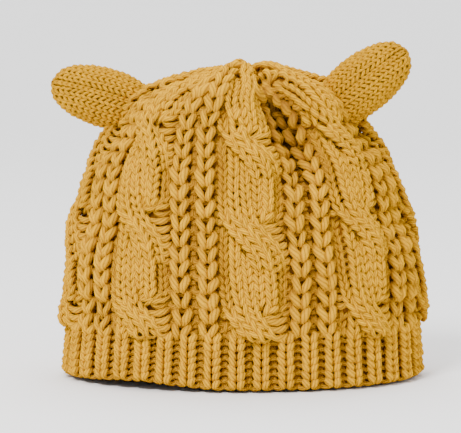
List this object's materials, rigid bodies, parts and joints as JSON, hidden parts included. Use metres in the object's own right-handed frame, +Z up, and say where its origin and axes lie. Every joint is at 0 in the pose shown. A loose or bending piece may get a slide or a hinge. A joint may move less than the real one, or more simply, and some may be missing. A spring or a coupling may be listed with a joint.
{
  "type": "baby hat with ears",
  "caption": "Hand-knitted style baby hat in thick mustard wool, with plump cables, a ribbed brim, a gathered top and stuffed ears sewn on at the sides.",
  "frame": {"origin": "middle of the footprint, on the surface that the rim stands on", "axes": "+Z up through the gathered top, +X towards the hat's left side as worn, with -Y its front"},
  "size_m": [0.1892, 0.1226, 0.1673],
  "materials": {
    "brim_yarn": "matte",
    "crown_yarn": "matte",
    "ear_yarn": "matte"
  },
  "bodies": {
    "root": {"brim": "brim_yarn", "crown": "crown_yarn", "ear_left": "ear_yarn", "ear_right": "ear_yarn"}
  },
  "joints": []
}
